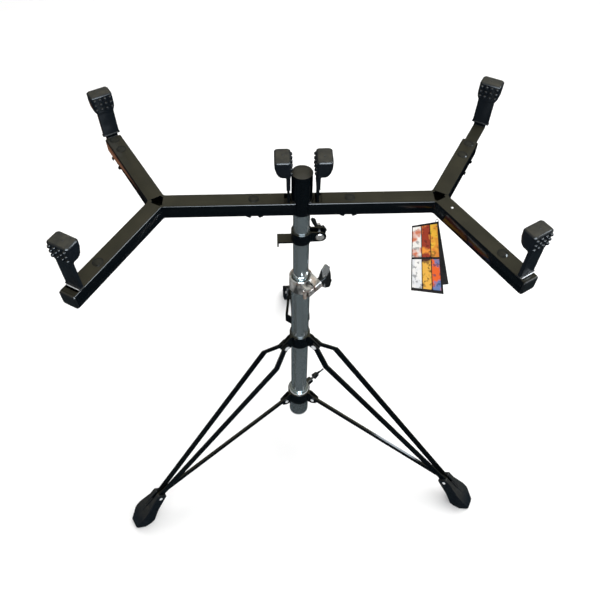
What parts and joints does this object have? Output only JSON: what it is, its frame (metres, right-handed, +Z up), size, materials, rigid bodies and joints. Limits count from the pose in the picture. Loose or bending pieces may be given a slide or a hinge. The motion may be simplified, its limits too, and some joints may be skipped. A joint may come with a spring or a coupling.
{
  "type": "double hand drum stand",
  "caption": "Height-adjustable folding tripod stand whose cross beam ends in two three-armed forks with sliding rubber-booted pads that hold a pair of hand drums.",
  "frame": {"origin": "on the floor, in the middle of the stand's footprint", "axes": "+Z up; +X along the cross beam to the right-hand fork as the player in front sees it; +Y away from the player, towards the rear leg"},
  "size_m": [0.8618, 0.757, 0.942],
  "materials": {
    "black_paint": "satin black powder coat",
    "chrome_tube": "polished chrome plate",
    "chrome_fitting": "polished chrome plate",
    "wing_nut_metal": "dark nickel-chrome plate",
    "rubber": "matt moulded rubber",
    "plastic": "moulded plastic",
    "card": "printed card"
  },
  "bodies": {
    "tripod": {"lower_tube": "chrome_tube", "tube_stop": "chrome_tube", "guide_bush": "plastic", "upper_collar": "black_paint", "leg_left_pivot_pin": "chrome_fitting", "leg_right_pivot_pin": "chrome_fitting", "leg_rear_pivot_pin": "chrome_fitting", "height_clamp": "chrome_fitting", "clamp_bolt": "chrome_fitting"},
    "clamp_nut": {"clamp_wing_nut": "wing_nut_metal"},
    "slider": {"slider_sleeve": "chrome_tube", "slider_collar": "black_paint"},
    "slider_bolt": {"slider_wing_bolt": "wing_nut_metal"},
    "leg_left": {"leg_left_bar_1": "black_paint", "leg_left_bar_2": "black_paint", "leg_left_shoe": "rubber"},
    "brace_left": {"brace_left": "black_paint"},
    "leg_right": {"leg_right_bar_1": "black_paint", "leg_right_bar_2": "black_paint", "leg_right_shoe": "rubber"},
    "brace_right": {"brace_right": "black_paint"},
    "leg_rear": {"leg_rear_bar_1": "black_paint", "leg_rear_bar_2": "black_paint", "leg_rear_shoe": "rubber"},
    "brace_rear": {"brace_rear": "black_paint"},
    "mast": {"upper_tube": "chrome_tube"},
    "memory_lock": {"memory_lock_band": "black_paint", "memory_lock_bolt": "chrome_fitting"},
    "memory_nut": {"memory_lock_wing_nut": "wing_nut_metal"},
    "head": {"cross_beam": "black_paint", "sleeve_cap": "plastic", "arm_front_left": "black_paint", "arm_front_right": "black_paint", "arm_rear_left": "black_paint", "arm_rear_right": "black_paint", "bolt_front_left": "black_paint", "bolt_front_right": "black_paint", "bolt_rear_left": "black_paint", "bolt_rear_right": "black_paint", "bolt_center_left": "black_paint", "bolt_center_right": "black_paint"},
    "pad_front_left": {"bracket_front_left": "black_paint", "boot_front_left": "rubber"},
    "pad_nut_front_left": {"wing_nut_front_left": "wing_nut_metal"},
    "pad_front_right": {"bracket_front_right": "black_paint", "boot_front_right": "rubber"},
    "pad_nut_front_right": {"wing_nut_front_right": "wing_nut_metal"},
    "pad_rear_left": {"bracket_rear_left": "black_paint", "boot_rear_left": "rubber"},
    "pad_nut_rear_left": {"wing_nut_rear_left": "wing_nut_metal"},
    "pad_rear_right": {"bracket_rear_right": "black_paint", "boot_rear_right": "rubber"},
    "pad_nut_rear_right": {"wing_nut_rear_right": "wing_nut_metal"},
    "pad_center_left": {"bracket_center_left": "black_paint", "boot_center_left": "rubber"},
    "pad_nut_center_left": {"wing_nut_center_left": "wing_nut_metal"},
    "pad_center_right": {"bracket_center_right": "black_paint", "boot_center_right": "rubber"},
    "pad_nut_center_right": {"wing_nut_center_right": "wing_nut_metal"},
    "tag": {"hang_tag": "card"}
  },
  "joints": [
    {"name": "clamp_nut_turn", "type": "hinge", "parent": "tripod", "child": "clamp_nut", "pos_m": [0.02994, -0.1185, 0.631], "axis": [0.7071, 0.7071, 0], "range_deg": [0, 360]},
    {"name": "leg_left_fold", "type": "hinge", "parent": "tripod", "child": "leg_left", "pos_m": [-0.03899, -0.13203, 0.431], "axis": [0.521, -0.8536, 0], "range_deg": [0, 45]},
    {"name": "leg_right_fold", "type": "hinge", "parent": "tripod", "child": "leg_right", "pos_m": [0.02854, -0.13038, 0.431], "axis": [0.4787, 0.878, 0], "range_deg": [0, 45]},
    {"name": "leg_rear_fold", "type": "hinge", "parent": "tripod", "child": "leg_rear", "pos_m": [-0.00665, -0.07272, 0.431], "axis": [-0.9997, -0.0244, 0], "range_deg": [0, 45]},
    {"name": "slider_travel", "type": "slide", "parent": "tripod", "child": "slider", "axis": [0, 0, 1], "range_m": [0, 0.1158]},
    {"name": "brace_left_fold", "type": "hinge", "parent": "slider", "child": "brace_left", "pos_m": [-0.0407, -0.13307, 0.19], "axis": [0.521, -0.8536, 0], "range_deg": [0, 71.8]},
    {"name": "brace_right_fold", "type": "hinge", "parent": "slider", "child": "brace_right", "pos_m": [0.0303, -0.13133, 0.19], "axis": [0.4787, 0.878, 0], "range_deg": [0, 71.8]},
    {"name": "brace_rear_fold", "type": "hinge", "parent": "slider", "child": "brace_rear", "pos_m": [-0.0067, -0.07072, 0.19], "axis": [-0.9997, -0.0244, 0], "range_deg": [0, 71.8]},
    {"name": "slider_bolt_turn", "type": "hinge", "parent": "slider", "child": "slider_bolt", "pos_m": [0.03353, -0.0746, 0.199], "axis": [0.7266, 0.6871, 0], "range_deg": [0, 360]},
    {"name": "mast_height", "type": "slide", "parent": "tripod", "child": "mast", "axis": [0, 0, 1], "range_m": [-0.078, 0.2]},
    {"name": "memory_lock_height", "type": "slide", "parent": "mast", "child": "memory_lock", "axis": [0, 0, 1], "range_m": [0, 0.036]},
    {"name": "memory_nut_turn", "type": "hinge", "parent": "memory_lock", "child": "memory_nut", "pos_m": [0.0273, -0.10391, 0.762], "axis": [0, 1, 0], "range_deg": [0, 360]},
    {"name": "head_swivel", "type": "hinge", "parent": "mast", "child": "head", "pos_m": [-0.0057, -0.11171, 0.85], "axis": [0, 0, 1], "continuous": true},
    {"name": "pad_front_left_reach", "type": "slide", "parent": "head", "child": "pad_front_left", "axis": [-0.5, -0.866, 0], "range_m": [0, 0.006]},
    {"name": "pad_nut_front_left_turn", "type": "hinge", "parent": "head", "child": "pad_nut_front_left", "pos_m": [-0.327, -0.24681, 0.8222], "axis": [0, 0, -1], "range_deg": [0, 360]},
    {"name": "pad_front_right_reach", "type": "slide", "parent": "head", "child": "pad_front_right", "axis": [0.5, -0.866, 0], "range_m": [0, 0.004]},
    {"name": "pad_nut_front_right_turn", "type": "hinge", "parent": "head", "child": "pad_nut_front_right", "pos_m": [0.3064, -0.24681, 0.8222], "axis": [0, 0, -1], "range_deg": [0, 360]},
    {"name": "pad_rear_left_reach", "type": "slide", "parent": "head", "child": "pad_rear_left", "axis": [-0.5, 0.866, 0], "range_m": [-0.002, 0.022]},
    {"name": "pad_nut_rear_left_turn", "type": "hinge", "parent": "head", "child": "pad_nut_rear_left", "pos_m": [-0.3285, 0.02599, 0.8222], "axis": [0, 0, -1], "range_deg": [0, 360]},
    {"name": "pad_rear_right_reach", "type": "slide", "parent": "head", "child": "pad_rear_right", "axis": [0.5, 0.866, 0], "range_m": [-0.006, 0.01]},
    {"name": "pad_nut_rear_right_turn", "type": "hinge", "parent": "head", "child": "pad_nut_rear_right", "pos_m": [0.3079, 0.02599, 0.8222], "axis": [0, 0, -1], "range_deg": [0, 360]},
    {"name": "pad_center_left_reach", "type": "slide", "parent": "head", "child": "pad_center_left", "axis": [1, 0, 0], "range_m": [-0.004, 0]},
    {"name": "pad_nut_center_left_turn", "type": "hinge", "parent": "head", "child": "pad_nut_center_left", "pos_m": [-0.0873, -0.11171, 0.8222], "axis": [0, 0, -1], "range_deg": [0, 360]},
    {"name": "pad_center_right_reach", "type": "slide", "parent": "head", "child": "pad_center_right", "axis": [-1, 0, 0], "range_m": [-0.004, 0.001]},
    {"name": "pad_nut_center_right_turn", "type": "hinge", "parent": "head", "child": "pad_nut_center_right", "pos_m": [0.0759, -0.11171, 0.8222], "axis": [0, 0, -1], "range_deg": [0, 360]},
    {"name": "tag_swing", "type": "hinge", "parent": "head", "child": "tag", "pos_m": [0.2284, -0.14571, 0.8165], "axis": [1, 0, 0], "range_deg": [-22, 56]}
  ],
  "couplings": [
    {"joint": "leg_right_fold", "follows": "leg_left_fold", "ratio": 1},
    {"joint": "leg_rear_fold", "follows": "leg_left_fold", "ratio": 1},
    {"joint": "slider_travel", "follows": "leg_left_fold", "m_per_rad": 0.14684},
    {"joint": "brace_left_fold", "follows": "leg_left_fold", "ratio": 1.591},
    {"joint": "brace_right_fold", "follows": "leg_left_fold", "ratio": 1.591},
    {"joint": "brace_rear_fold", "follows": "leg_left_fold", "ratio": 1.591}
  ]
}
